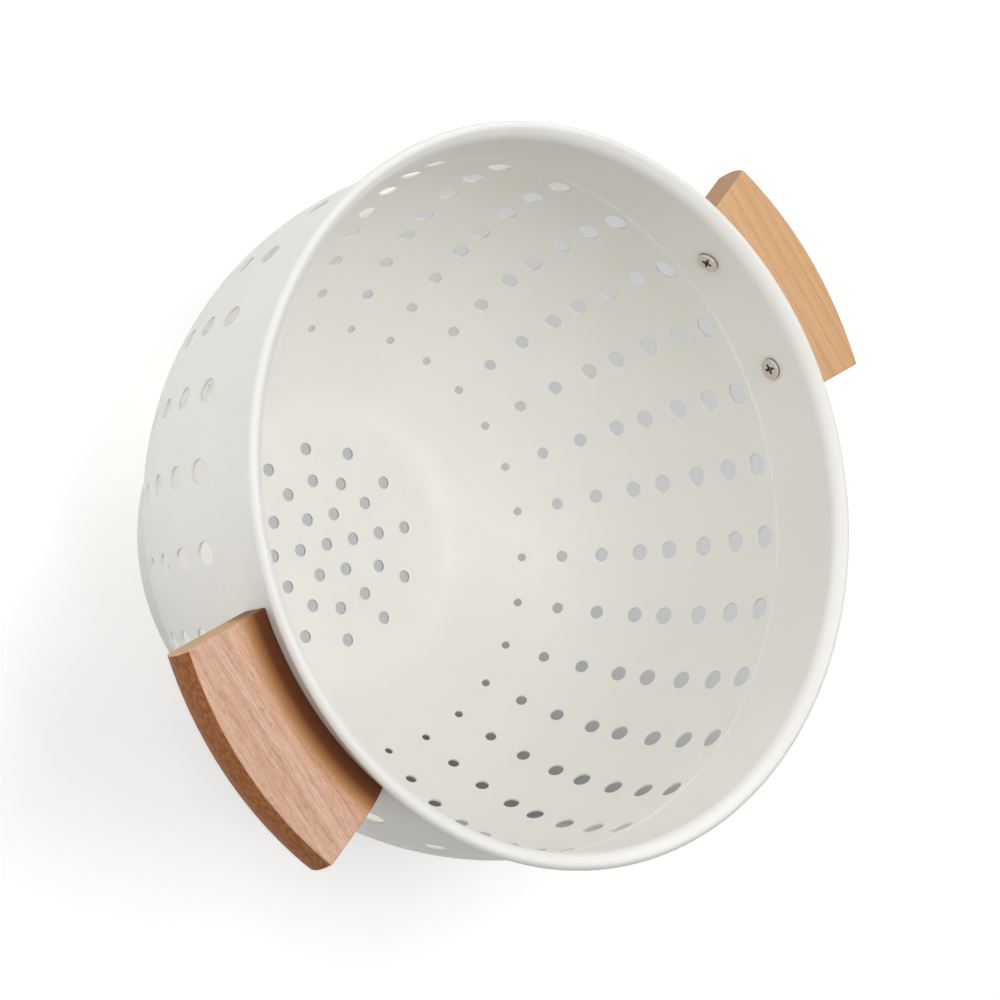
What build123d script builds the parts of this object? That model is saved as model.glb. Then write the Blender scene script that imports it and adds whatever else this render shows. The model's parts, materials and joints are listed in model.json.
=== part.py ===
from build123d import *
import math
import os

# Colander: a punched steel bowl on a foot ring, with two wooden side handles.
# Units are millimetres. The origin is on the table, on the bowl's axis.
# +Z is up, and the handles lie along X.

# Sheet and overrun
sheet = 1.0
overrun = 6.0

# Foot ring
foot_radius = 75.2
foot_neck_radius = 70.6
foot_flare_radius = 8.0
foot_flare_angle = 48.0
foot_seat_gap = 0.05

# Bowl wall
floor_clearance = 12.7
curve_radius = 118.3
curve_height = 107.0
floor_corner_radius = 25.0
step_start = 10.6
step_rise = 1.0
step_width = 0.3

# Rolled rim
rim_radius = 130.0
rim_height = 152.0
rim_overhang = 6.5
bead_radius = 2.0
flare_angle = 55.0
flare_blend_radius = 5.0
curl_end_angle = -120.0

# Holes in the wall
wall_columns = 28
pattern_turn = -1.0
top_row_rise = 3.7
row_pitch = 15.8
close_row_pitch = 12.7
close_gap_after_row = 4
smallest_hole = 3.0
largest_hole = 8.2
row_size_shares = (0.0, 0.21, 0.385, 0.54, 0.67, 0.77, 0.885, 1.0)

# Holes in the floor
floor_hole = 4.6
floor_ring_pitch = 12.4
floor_ring_counts = (6, 12, 12)
floor_ring_turns = (35.8, 5.8, 5.8)

# Handles
handle_reach = 34.3
handle_half_length = 37.8
handle_end_angle = 10.8
handle_thickness = 14.2
handle_arc_radius = 139.5
handle_belly = 2.3
handle_slope_width = 14.7
handle_slope_drop = 2.6
handle_edge_radius = 0.7
handle_wall_gap = 0.1

# Screws and inserts
screw_drop = 18.4
screw_spacing = 47.2
screw_diameter = 4.0
screw_length = 14.0
screw_hole_clearance = 0.3
screw_seat_gap = 0.03
head_diameter = 8.2
head_height = 1.3
head_edge_radius = 0.4
recess_width = 1.0
recess_reach = 2.2
recess_depth = 1.1
recess_cone_radius = 1.3
recess_turns = (12.0, 65.0, 85.0, 51.0)
screw_tip_chamfer = 0.5
insert_diameter = 6.4
insert_length = 10.0
insert_groove_depth = 0.4
insert_groove_width = 1.2
insert_fit = 0.05
bore_fit = 0.05
bore_end_room = 1.5

# Sizes worked out from the ones above
floor_top = floor_clearance + sheet
bowl_radius = rim_radius - rim_overhang
curve_centre_r = bowl_radius - curve_radius
curve_centre_z = floor_top + curve_height
band_radius = bowl_radius + step_width
band_outer_radius = band_radius + sheet
rim_top = floor_top + rim_height
screw_z = rim_top - screw_drop
screw_angle = math.degrees(math.asin(screw_spacing / 2 / band_radius))
handle_top = screw_z + handle_thickness / 2
handle_bottom = screw_z - handle_thickness / 2
handle_inner_radius = band_outer_radius + handle_wall_gap
head_seat = math.sqrt(band_radius**2 - (head_diameter / 2) ** 2) - screw_seat_gap


def point_on(centre, radius, angle):
    """Point at an angle in degrees on a circle in the section plane."""
    a = math.radians(angle)
    return (centre[0] + radius * math.cos(a), centre[1] + radius * math.sin(a))


def section_line(start, end):
    """Straight edge of a section, drawn in the XZ plane."""
    return Line((start[0], 0, start[1]), (end[0], 0, end[1]))


def section_arc(centre, radius, first, last):
    """Arc of a section between two angles, drawn in the XZ plane."""
    points = [point_on(centre, radius, a) for a in (first, (first + last) / 2, last)]
    return ThreePointArc(*[(p[0], 0, p[1]) for p in points])


def turned(edges):
    """Solid made by turning a closed section once round the Z axis."""
    face = make_face(edges)
    return revolve(face, Axis.Z, 360)


def bowl_side(offset):
    """One side of the sheet from the axis to the curl's end, with its two end points."""
    centre = (curve_centre_r, curve_centre_z)
    curve = curve_radius + offset
    corner = floor_corner_radius + offset
    level = floor_top - offset
    corner_z = level + corner
    reach = curve - corner
    corner_r = centre[0] + math.sqrt(reach**2 - (centre[1] - corner_z) ** 2)
    meet_angle = math.degrees(math.atan2(corner_z - centre[1], corner_r - centre[0]))

    wall = bowl_radius + offset
    band = band_radius + offset
    step_low = curve_centre_z + step_start
    step_high = step_low + step_rise

    bead_centre = (rim_radius - bead_radius, rim_top - bead_radius)
    bead = bead_radius - offset
    blend = flare_blend_radius - offset
    touch_angle = 180 - flare_angle
    touch = point_on(bead_centre, bead, touch_angle)
    slope = math.radians(flare_angle)
    run = (touch[0] - band) / math.sin(slope)
    knee = (band, touch[1] - run * math.cos(slope))
    tangent = blend * math.tan(slope / 2)
    blend_low = (band, knee[1] - tangent)
    blend_centre = (band + blend, blend_low[1])

    start = (0, level)
    end = point_on(bead_centre, bead, curl_end_angle)
    edges = [
        section_line(start, (corner_r, level)),
        section_arc((corner_r, corner_z), corner, -90, meet_angle),
        section_arc(centre, curve, meet_angle, 0),
        section_line((wall, centre[1]), (wall, step_low)),
        section_line((wall, step_low), (band, step_high)),
        section_line((band, step_high), blend_low),
        section_arc(blend_centre, blend, 180, touch_angle),
        section_line(point_on(blend_centre, blend, touch_angle), touch),
        section_arc(bead_centre, bead, touch_angle, curl_end_angle),
    ]
    return edges, start, end


def row_places():
    """Height, radius, tilt and hole size of each row of wall holes, lowest first."""
    rows = len(row_size_shares)
    places = []
    along = -top_row_rise
    for row in range(rows, 0, -1):
        size = smallest_hole + (largest_hole - smallest_hole) * row_size_shares[row - 1]
        angle = -math.degrees(max(along, 0) / curve_radius)
        centre = (curve_centre_r, curve_centre_z + max(-along, 0))
        r, z = point_on(centre, curve_radius + sheet / 2, angle)
        places.append((r, z, angle, size))
        along += close_row_pitch if row - 1 == close_gap_after_row else row_pitch
    return places[::-1]


def punch(r, z, tilt, turn, diameter):
    """Round punch through the wall at a radius and height, tilted with the wall."""
    place = Rot(0, 0, turn) * Pos(r, 0, z) * Rot(0, 90 - tilt, 0)
    return place * Cylinder(diameter / 2, overrun)


def wall_punches():
    """Punches of all the rows of wall holes."""
    step = 360 / wall_columns
    places = row_places()
    return [
        punch(r, z, tilt, pattern_turn + column * step, size)
        for r, z, tilt, size in places
        for column in range(wall_columns)
    ]


def floor_punches():
    """Punches of the floor holes: one in the middle and three rings."""
    level = floor_top - sheet / 2
    punches = [Pos(0, 0, level) * Cylinder(floor_hole / 2, overrun)]
    for ring, count in enumerate(floor_ring_counts):
        radius = floor_ring_pitch * (ring + 1)
        for hole in range(count):
            turn = floor_ring_turns[ring] + hole * 360 / count
            place = Rot(0, 0, turn) * Pos(radius, 0, level)
            punches.append(place * Cylinder(floor_hole / 2, overrun))
    return punches


def screw_turns():
    """Angles of the four screws round the bowl, two at each handle."""
    return [side + sign * screw_angle for side in (0, 180) for sign in (-1, 1)]


def screw_punches():
    """Clearance holes of the four handle screws."""
    hole = screw_diameter + 2 * screw_hole_clearance
    radius = band_radius + sheet / 2
    return [punch(radius, screw_z, 0, turn, hole) for turn in screw_turns()]


def make_bowl():
    """Drawn bowl with its rolled rim and all of its holes."""
    inner, inner_start, inner_end = bowl_side(0)
    outer, outer_start, outer_end = bowl_side(sheet)
    ends = [section_line(inner_start, outer_start), section_line(inner_end, outer_end)]
    shell = turned(inner + outer + ends)
    return shell - (wall_punches() + floor_punches() + screw_punches())


def bowl_block(gap):
    """Solid block inside the bowl's outer surface, grown by a gap."""
    centre = (curve_centre_r, curve_centre_z)
    edges, start, _ = bowl_side(sheet + gap)
    top = (curve_centre_r + curve_radius + sheet + gap, centre[1])
    axis_top = (0, centre[1])
    return turned(edges[:3] + [section_line(top, axis_top), section_line(axis_top, start)])


def make_foot_ring():
    """Flared ring under the bowl, trimmed to the bowl's underside."""
    flare = math.radians(foot_flare_angle)
    arc_out = foot_flare_radius * (1 - math.cos(flare))
    arc_down = foot_flare_radius * math.sin(flare)
    lip_out = foot_radius - foot_neck_radius - arc_out
    lip_down = lip_out / math.tan(flare)
    arc_top = lip_down + arc_down
    centre = (foot_neck_radius + foot_flare_radius, arc_top)
    inner_radius = foot_flare_radius + sheet
    last = 180 + foot_flare_angle
    outer_end = point_on(centre, foot_flare_radius, last)
    inner_end = point_on(centre, inner_radius, last)
    inner_foot = inner_end[0] + inner_end[1] * math.tan(flare)
    top = floor_top + foot_neck_radius
    neck_inner = foot_neck_radius - sheet
    ring = turned([
        section_line((foot_radius, 0), outer_end),
        section_arc(centre, foot_flare_radius, last, 180),
        section_line((foot_neck_radius, arc_top), (foot_neck_radius, top)),
        section_line((foot_neck_radius, top), (neck_inner, top)),
        section_line((neck_inner, top), (neck_inner, arc_top)),
        section_arc(centre, inner_radius, 180, last),
        section_line(inner_end, (inner_foot, 0)),
        section_line((inner_foot, 0), (foot_radius, 0)),
    ])
    return ring - bowl_block(foot_seat_gap)


def handle_body():
    """Wooden grip before its bores: a plan outline with a rounded outer face."""
    outer_x = band_outer_radius + handle_reach
    arc_centre_x = outer_x - handle_arc_radius
    half = handle_thickness / 2
    belly_radius = (half**2 + handle_belly**2) / (2 * handle_belly)
    belly_centre = handle_arc_radius + handle_belly - belly_radius
    sweep = math.degrees(math.asin(half / belly_radius))
    section = make_face([
        section_line((0, half), (handle_arc_radius, half)),
        section_arc((belly_centre, 0), belly_radius, sweep, -sweep),
        section_line((handle_arc_radius, -half), (0, -half)),
        section_line((0, -half), (0, half)),
    ])
    blank = Pos(arc_centre_x, 0, screw_z) * revolve(section, Axis.Z, 360)

    spread = math.tan(math.radians(handle_end_angle))
    far_x = outer_x + handle_belly + overrun
    far_y = handle_half_length + (far_x - band_outer_radius) * spread
    near_y = handle_half_length - band_outer_radius * spread
    plan = make_face(Polyline((0, near_y), (far_x, far_y), (far_x, -far_y), (0, -near_y), close=True))
    wedge = Pos(0, 0, handle_bottom - overrun) * extrude(plan, handle_thickness + 2 * overrun)
    return (blank & wedge) - handle_inside()


def handle_inside():
    """Space inside the handle's seat, with the sloping strip above it."""
    low = handle_bottom - overrun
    high = handle_top + overrun
    slope = (handle_slope_width**2 + handle_slope_drop**2) / (2 * handle_slope_drop)
    ridge = handle_inner_radius + handle_slope_width
    centre = (ridge, handle_top - slope)
    first = 90 + math.degrees(math.asin(handle_slope_width / slope))
    foot = (handle_inner_radius, handle_top - handle_slope_drop)
    return turned([
        section_line((0, low), (handle_inner_radius, low)),
        section_line((handle_inner_radius, low), foot),
        section_arc(centre, slope, first, 90),
        section_line((ridge, handle_top), (ridge, high)),
        section_line((ridge, high), (0, high)),
        section_line((0, high), (0, low)),
    ])


def radial(turn, r, shape):
    """Shape whose axis is Z, laid along a radius at the screws' height."""
    return Rot(0, 0, turn) * Pos(r, 0, screw_z) * Rot(0, 90, 0) * shape


def bore(diameter, depth):
    """Round bore that starts a little before its own origin."""
    length = depth + overrun
    return Pos(0, 0, (depth - overrun) / 2) * Cylinder(diameter / 2, length)


def soften(body):
    """Round the handle's edges, but not those against the wall."""
    limit = handle_inner_radius + handle_edge_radius
    chosen = []
    for edge in body.edges():
        middle = edge @ 0.5
        on_top_strip = abs(math.hypot(middle.X, middle.Y) - handle_inner_radius - handle_slope_width)
        if math.hypot(middle.X, middle.Y) > limit and on_top_strip > handle_edge_radius:
            chosen.append(edge)
    return fillet(chosen, handle_edge_radius)


def make_handle(side):
    """Wooden handle at one side, bored for its two inserts and screws."""
    body = soften(handle_body())
    tip_room = head_seat + screw_length - handle_inner_radius + bore_end_room
    for sign in (-1, 1):
        turn = sign * screw_angle
        body -= radial(turn, handle_inner_radius, bore(insert_diameter + 2 * bore_fit, insert_length))
        clear = screw_diameter + 2 * screw_hole_clearance
        body -= radial(turn, handle_inner_radius, bore(clear, tip_room))
    return Rot(0, 0, side) * body


def make_insert(turn):
    """Threaded sleeve pressed into the wood, with two grooves round it."""
    sleeve = Cylinder(insert_diameter / 2, insert_length)
    hole = Cylinder(screw_diameter / 2 + insert_fit, insert_length + overrun)
    body = sleeve - hole
    for share in (-1, 1):
        ring = Cylinder(insert_diameter / 2 + overrun, insert_groove_width)
        ring -= Cylinder(insert_diameter / 2 - insert_groove_depth, insert_groove_width)
        body -= Pos(0, 0, share * insert_length / 6) * ring
    return radial(turn, handle_inner_radius, Pos(0, 0, insert_length / 2) * body)


def make_screw(turn, recess_turn):
    """Low-headed machine screw with a cross recess, its head inside the bowl."""
    head = Pos(0, 0, -head_height / 2) * Cylinder(head_diameter / 2, head_height)
    head = fillet(head.edges().sort_by(Axis.Z)[0], head_edge_radius)
    shank = Pos(0, 0, screw_length / 2) * Cylinder(screw_diameter / 2, screw_length)
    shank = chamfer(shank.edges().sort_by(Axis.Z)[-1], screw_tip_chamfer)
    screw = head + shank
    depth_place = Pos(0, 0, recess_depth / 2 - head_height)
    for angle in (recess_turn, recess_turn + 90):
        screw -= Rot(0, 0, angle) * depth_place * Box(2 * recess_reach, recess_width, recess_depth)
    cone = Cone(recess_cone_radius, recess_width / 2, recess_depth)
    screw -= depth_place * cone
    return radial(turn, head_seat, screw)


def save(shape, node):
    """Write one node's solid."""
    export_step(shape, os.path.join("parts", node + ".step"))


os.makedirs("parts", exist_ok=True)
save(make_bowl(), "bowl")
save(make_foot_ring(), "foot_ring")
save(make_handle(0), "handle_right")
save(make_handle(180), "handle_left")
for number, (screw_turn, recess_turn) in enumerate(zip(screw_turns(), recess_turns), start=1):
    save(make_screw(screw_turn, recess_turn), f"handle_screw_{number}")
    save(make_insert(screw_turn), f"handle_insert_{number}")
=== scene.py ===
"""Looks of the colander: a white coated steel bowl on a foot ring, with two wooden side handles.

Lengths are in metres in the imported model's frame: the origin is on the table on the bowl's axis,
+Z is up and the handles lie along X. Angles are in degrees unless a name says otherwise.
"""

import json
import logging
import math
from abc import ABC, abstractmethod
from collections.abc import Callable
from dataclasses import dataclass, field
from enum import Enum

import bmesh
import bpy
from mathutils import Matrix, Vector

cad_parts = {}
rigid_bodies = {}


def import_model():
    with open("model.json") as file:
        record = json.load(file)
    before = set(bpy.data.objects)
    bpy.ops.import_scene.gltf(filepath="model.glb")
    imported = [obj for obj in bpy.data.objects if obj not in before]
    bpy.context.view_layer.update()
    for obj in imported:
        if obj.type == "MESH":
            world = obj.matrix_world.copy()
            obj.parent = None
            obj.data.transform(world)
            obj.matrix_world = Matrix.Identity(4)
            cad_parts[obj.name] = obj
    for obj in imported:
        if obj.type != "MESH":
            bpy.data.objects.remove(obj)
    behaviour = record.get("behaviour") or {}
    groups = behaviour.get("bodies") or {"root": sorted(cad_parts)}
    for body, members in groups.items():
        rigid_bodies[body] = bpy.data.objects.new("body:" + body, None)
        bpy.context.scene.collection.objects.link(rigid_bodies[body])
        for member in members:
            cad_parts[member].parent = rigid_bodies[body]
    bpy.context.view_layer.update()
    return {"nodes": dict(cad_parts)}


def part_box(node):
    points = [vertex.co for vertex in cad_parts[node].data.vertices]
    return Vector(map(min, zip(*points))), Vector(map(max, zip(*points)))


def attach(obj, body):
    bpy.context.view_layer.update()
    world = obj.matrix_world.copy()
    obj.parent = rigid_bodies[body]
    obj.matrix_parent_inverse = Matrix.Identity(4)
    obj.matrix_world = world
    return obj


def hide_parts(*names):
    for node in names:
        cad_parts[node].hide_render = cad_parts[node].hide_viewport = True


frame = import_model()

log = logging.getLogger("colander")

BODY = "root"
MERGE_DISTANCE = 1e-6
EDGE_MARK = "edge"
RECESS_SHADE_MARK = "recess"
OUTER_MARK = "outer_face"
END_MARK = "end_face"
FACING_MARK = "facing"

Pair = tuple[float, float]
Colour = tuple[float, float, float]
Shares = tuple[tuple[float, float, float, float], ...]
Collection = bpy.types.Collection
Mesh = bpy.types.Mesh
Node = bpy.types.Node
Piece = bpy.types.Object
Socket = bpy.types.NodeSocket
Tree = bpy.types.NodeTree
Feed = Socket | float | tuple


def turned(radius: float, height: float, turn: float) -> Vector:
    """Point at a radius and height, turned round the bowl's axis by an angle in degrees."""
    a = math.radians(turn)
    return Vector((radius * math.cos(a), radius * math.sin(a), height))


def rotation(angle: float, axis: str) -> Matrix:
    """Rotation by an angle in degrees round an axis."""
    return Matrix.Rotation(math.radians(angle), 3, axis)


def spaced(first: float, last: float, steps: int) -> list[float]:
    """Evenly spaced numbers, both ends included."""
    return [first + (last - first) * k / steps for k in range(steps + 1)]


class Slot(Enum):
    """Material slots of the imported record."""

    COATED_STEEL = "coated_steel"
    HANDLE_WOOD = "handle_wood"
    SCREW_STEEL = "screw_steel"


@dataclass
class TreeBuilder:
    """Adds nodes to a node tree and links them."""

    tree: Tree

    def add(self, kind: str, feeds: dict[str | int, Feed] | None = None, **settings) -> Node:
        """Add one node.

        Args:
            kind: Blender's name of the node type.
            feeds: A value or a socket to link, for each named or numbered input.
            settings: Properties of the node itself.

        Returns:
            The new node.
        """
        node = self.tree.nodes.new(kind)
        for name, value in settings.items():
            setattr(node, name, value)
        for name, value in (feeds or {}).items():
            self.feed(node.inputs[name], value)
        return node

    def feed(self, socket: Socket, value: Feed) -> None:
        """Link a socket to an input, or set the input's own value.

        Args:
            socket: The input.
            value: A socket to link, or a value. A colour of three numbers gets full alpha.
        """
        if isinstance(value, Socket):
            self.tree.links.new(value, socket)
        else:
            socket.default_value = (*value, 1.0) if socket.type == "RGBA" else value

    def math(self, operation: str, first: Feed, second: Feed = 0.0) -> Socket:
        """Work out one sum of two numbers and return its socket."""
        return self.add("ShaderNodeMath", {0: first, 1: second}, operation=operation).outputs[0]

    def vector_math(self, operation: str, first: Feed, second: Feed = (0.0, 0.0, 0.0)) -> Node:
        """Add one sum of two vectors, with its result at the output Vector or Value."""
        return self.add("ShaderNodeVectorMath", {0: first, 1: second}, operation=operation)

    def spread(
        self, value: Feed, low: float, high: float, to_low: Feed = 0.0, to_high: Feed = 1.0
    ) -> Socket:
        """Stretch the range from low to high onto another range and clamp it."""
        feeds = {"Value": value, "From Min": low, "From Max": high, "To Min": to_low, "To Max": to_high}
        return self.add("ShaderNodeMapRange", feeds, clamp=True).outputs[0]

    def mix(self, share: Feed, first: Feed, second: Feed) -> Socket:
        """Mix two colours by a share from 0 to 1 and return the colour's socket."""
        return self.add("ShaderNodeMix", {0: share, 6: first, 7: second}, data_type="RGBA").outputs[2]

    def blend(self, share: Feed, first: Feed, second: Feed) -> Socket:
        """Mix two numbers by a share from 0 to 1 and return the number's socket."""
        return self.add("ShaderNodeMix", {0: share, 2: first, 3: second}, data_type="FLOAT").outputs[0]

    def attribute(self, name: str) -> Socket:
        """Number that a mesh carries under a name."""
        return self.add("ShaderNodeAttribute", attribute_name=name).outputs["Fac"]

    def shape_of(self, source: Socket) -> Socket:
        """Mesh of an object that the tree is given."""
        return self.add("GeometryNodeObjectInfo", {"Object": source}).outputs["Geometry"]

    def join(self, *parts: Socket) -> Socket:
        """Put several shapes together.

        Args:
            parts: The shapes' sockets.

        Returns:
            The socket of the whole.
        """
        whole = self.add("GeometryNodeJoinGeometry")
        for part in parts:
            self.feed(whole.inputs[0], part)
        return whole.outputs[0]

    def copies(self, points: Socket, part: Socket, more: dict[str, Feed] | None = None) -> Socket:
        """Set a copy of a part at every point and make the copies real.

        Args:
            points: The points' socket.
            part: The part's socket.
            more: Further inputs of the node that places the copies.

        Returns:
            The copies' socket.
        """
        feeds = {"Points": points, "Instance": part} | (more or {})
        placed = self.add("GeometryNodeInstanceOnPoints", feeds)
        return self.add("GeometryNodeRealizeInstances", {0: placed.outputs[0]}).outputs[0]


@dataclass
class MaterialBuilder(TreeBuilder):
    """Tree builder of a material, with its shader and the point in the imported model's frame."""

    shader: Node
    place: Socket

    def dress(self, label: str, value: Feed) -> None:
        """Set or link one of the shader's inputs."""
        self.feed(self.shader.inputs[label], value)

    def bump(self, height: Socket, depth: float) -> None:
        """Link a bump of a real depth in metres to the shader's normal."""
        made = self.add("ShaderNodeBump", {"Height": height, "Distance": depth, "Strength": 1.0})
        self.dress("Normal", made.outputs[0])


def empty_tree(owner: bpy.types.Material | bpy.types.World) -> TreeBuilder:
    """Give a material or a world an empty node tree.

    Args:
        owner: The material or the world.

    Returns:
        The builder of its tree.
    """
    owner.use_nodes = True
    owner.node_tree.nodes.clear()
    return TreeBuilder(owner.node_tree)


def new_group(
    name: str, kind: str, inputs: dict[str, str], outputs: dict[str, str]
) -> tuple[TreeBuilder, Node, Node]:
    """Make a node group with named sockets.

    Args:
        name: Name of the group.
        kind: Shader or Geometry.
        inputs: Kind of each named input, such as Float.
        outputs: Kind of each named output.

    Returns:
        The builder of the new tree, its input node and its output node.
    """
    tree = bpy.data.node_groups.new(name, kind + "NodeTree")
    for way, sockets in (("INPUT", inputs), ("OUTPUT", outputs)):
        for label, socket in sockets.items():
            tree.interface.new_socket(label, in_out=way, socket_type="NodeSocket" + socket)
    builder = TreeBuilder(tree)
    return builder, builder.add("NodeGroupInput"), builder.add("NodeGroupOutput")


MOTTLE_DETAILS = {"Blotch Size": 3.0, "Grain Size": 1.0}
MOTTLE_ROUGHNESS = 0.55
MOTTLE_RANGE = (0.3, 0.7)


def mottle_group() -> Tree:
    """Shader group of soft blotches: a mask for colour and gloss, and a height for a bump.

    Returns:
        The group, made once and shared by every finish that calls it.
    """
    name = "soft_mottle"
    if name in bpy.data.node_groups:
        return bpy.data.node_groups[name]
    inputs = {"Vector": "Vector"} | dict.fromkeys(MOTTLE_DETAILS, "Float")
    b, given, out = new_group(name, "Shader", inputs, {"Mask": "Float", "Height": "Float"})
    noises = []
    for size, detail in MOTTLE_DETAILS.items():
        scale = b.math("DIVIDE", 1.0, given.outputs[size])
        feeds = {"Vector": given.outputs["Vector"], "Scale": scale, "Detail": detail}
        noises.append(b.add("ShaderNodeTexNoise", feeds | {"Roughness": MOTTLE_ROUGHNESS}).outputs[0])
    b.feed(out.inputs["Mask"], b.spread(noises[0], *MOTTLE_RANGE))
    b.feed(out.inputs["Height"], noises[1])
    return b.tree


GRAIN_SIZES = (
    "ring_width", "ring_tilt", "band_width", "band_length",
    "fibre_width", "fibre_length", "fleck_size", "wander",
)
GRAIN_MASKS = ("Rings", "Bands", "Fibres", "Pores", "Flecks", "Height")
WANDER_SCALE = 9.0
RING_POWER = 12.0
RING_START = 0.04
BAND_RANGE = (0.33, 0.67)
FIBRE_RANGE = (0.42, 0.60)
PORE_RANGE = (0.62, 0.70)
FLECK_RANGE = (0.42, 0.60)
PORE_WIDTH_SHARE = 0.6
PORE_LENGTH_SHARE = 0.3
FLECK_STRETCH = 2.5
FIBRE_RELIEF = 0.6
PORE_RELIEF = 0.5


def grain_group() -> Tree:
    """Shader group of straight wood grain that runs along Y through the whole board.

    Returns:
        The group, made once and shared by both handles.
    """
    name = "straight_grain"
    if name in bpy.data.node_groups:
        return bpy.data.node_groups[name]
    inputs = {"Vector": "Vector"} | dict.fromkeys(GRAIN_SIZES, "Float")
    b, given, out = new_group(name, "Shader", inputs, dict.fromkeys(GRAIN_MASKS, "Float"))
    position = given.outputs["Vector"]
    size = given.outputs

    def stretched(source: Feed, width: Feed, length: Feed, detail: float) -> Socket:
        """Noise whose cells are that wide across the grain and that long along it.

        Args:
            source: The point where the noise is taken.
            width: Width of the cells.
            length: Length of the cells.
            detail: Number of finer layers.

        Returns:
            The noise's socket.
        """
        across, along = b.math("DIVIDE", 1.0, width), b.math("DIVIDE", 1.0, length)
        scale = b.add("ShaderNodeCombineXYZ", {"X": across, "Y": along, "Z": across}).outputs[0]
        space = b.vector_math("MULTIPLY", source, scale).outputs[0]
        return b.add("ShaderNodeTexNoise", {"Vector": space, "Scale": 1.0, "Detail": detail}).outputs[0]

    slow = b.add("ShaderNodeTexNoise", {"Vector": position, "Scale": WANDER_SCALE, "Detail": 0.0})
    shift = b.vector_math("SUBTRACT", slow.outputs["Color"], (0.5, 0.5, 0.5)).outputs[0]
    amount = b.add("ShaderNodeCombineXYZ", {"X": size["wander"], "Z": size["wander"]}).outputs[0]
    wavy = b.vector_math("ADD", position, b.vector_math("MULTIPLY", shift, amount).outputs[0]).outputs[0]

    parts = b.add("ShaderNodeSeparateXYZ", {0: wavy}).outputs
    tilted = b.math("ADD", parts["X"], b.math("MULTIPLY", parts["Z"], size["ring_tilt"]))
    ring = b.math("FRACT", b.math("DIVIDE", tilted, size["ring_width"]))
    rings = b.math("MAXIMUM", b.math("POWER", ring, RING_POWER), b.spread(ring, 0.0, RING_START, 1.0, 0.0))

    band = stretched(wavy, size["band_width"], size["band_length"], 2.0)
    fibre = stretched(wavy, size["fibre_width"], size["fibre_length"], 3.0)
    pore_width = b.math("MULTIPLY", size["fibre_width"], PORE_WIDTH_SHARE)
    pore_length = b.math("MULTIPLY", size["fibre_length"], PORE_LENGTH_SHARE)
    pores = b.spread(stretched(wavy, pore_width, pore_length, 0.0), *PORE_RANGE)
    fleck_length = b.math("MULTIPLY", size["fleck_size"], FLECK_STRETCH)
    flecks = b.spread(stretched(position, size["fleck_size"], fleck_length, 2.0), *FLECK_RANGE)
    rise, dip = b.math("MULTIPLY", fibre, FIBRE_RELIEF), b.math("MULTIPLY", pores, PORE_RELIEF)
    bands, fibres = b.spread(band, *BAND_RANGE), b.spread(fibre, *FIBRE_RANGE)
    masks = (rings, bands, fibres, pores, flecks, b.math("SUBTRACT", rise, dip))
    for label, mask in zip(GRAIN_MASKS, masks):
        b.feed(out.inputs[label], mask)
    return b.tree


@dataclass(frozen=True)
class Finish(ABC):
    """One finish: its name and the material that it makes."""

    name: str

    def material(self) -> bpy.types.Material:
        """Make the finish's material on the first call.

        Returns:
            The material, shared by every piece with this finish.
        """
        if self.name in bpy.data.materials:
            return bpy.data.materials[self.name]
        made = bpy.data.materials.new(self.name)
        b = empty_tree(made)
        shader = b.add("ShaderNodeBsdfPrincipled")
        b.add("ShaderNodeOutputMaterial", {"Surface": shader.outputs[0]})
        self.dress(MaterialBuilder(b.tree, shader, b.add("ShaderNodeTexCoord").outputs["Object"]))
        return made

    @abstractmethod
    def dress(self, b: MaterialBuilder) -> None:
        """Set and link the shader's inputs.

        Args:
            b: Builder of the material's tree.
        """


@dataclass(frozen=True)
class Coating(Finish):
    """Warm white powder coating with a soft shine, a fine orange peel and a few tiny specks."""

    colour: Colour = (0.85, 0.838, 0.79)
    mottle_colour: Colour = (0.832, 0.818, 0.768)
    edge_colour: Colour = (0.70, 0.69, 0.66)
    speck_colour: Colour = (0.42, 0.33, 0.24)
    roughness: float = 0.38
    roughness_swing: float = 0.07
    blotch_size: float = 0.035
    peel_size: float = 0.0011
    peel_depth: float = 0.000012
    speck_cell: float = 0.022
    speck_radius: float = 0.00028
    speck_share: float = 0.16

    def dress(self, b: MaterialBuilder) -> None:
        """Set and link the shader's inputs.

        Args:
            b: Builder of the material's tree.
        """
        sizes = {"Blotch Size": self.blotch_size, "Grain Size": self.peel_size}
        mottle = b.add("ShaderNodeGroup", {"Vector": b.place} | sizes, node_tree=mottle_group()).outputs
        cells = b.add("ShaderNodeTexVoronoi", {"Vector": b.place, "Scale": 1 / self.speck_cell}).outputs
        near = b.spread(cells["Distance"], 0.0, self.speck_radius / self.speck_cell, 1.0, 0.0)
        chance = b.add("ShaderNodeSeparateColor", {0: cells["Color"]}).outputs[0]
        speck = b.math("MULTIPLY", near, b.math("LESS_THAN", chance, self.speck_share))
        colour = b.mix(mottle["Mask"], self.colour, self.mottle_colour)
        colour = b.mix(speck, colour, self.speck_colour)
        b.dress("Base Color", b.mix(b.attribute(EDGE_MARK), colour, self.edge_colour))
        swing = b.math("MULTIPLY", mottle["Mask"], self.roughness_swing)
        b.dress("Roughness", b.math("ADD", swing, self.roughness))
        b.bump(mottle["Height"], self.peel_depth)


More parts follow.
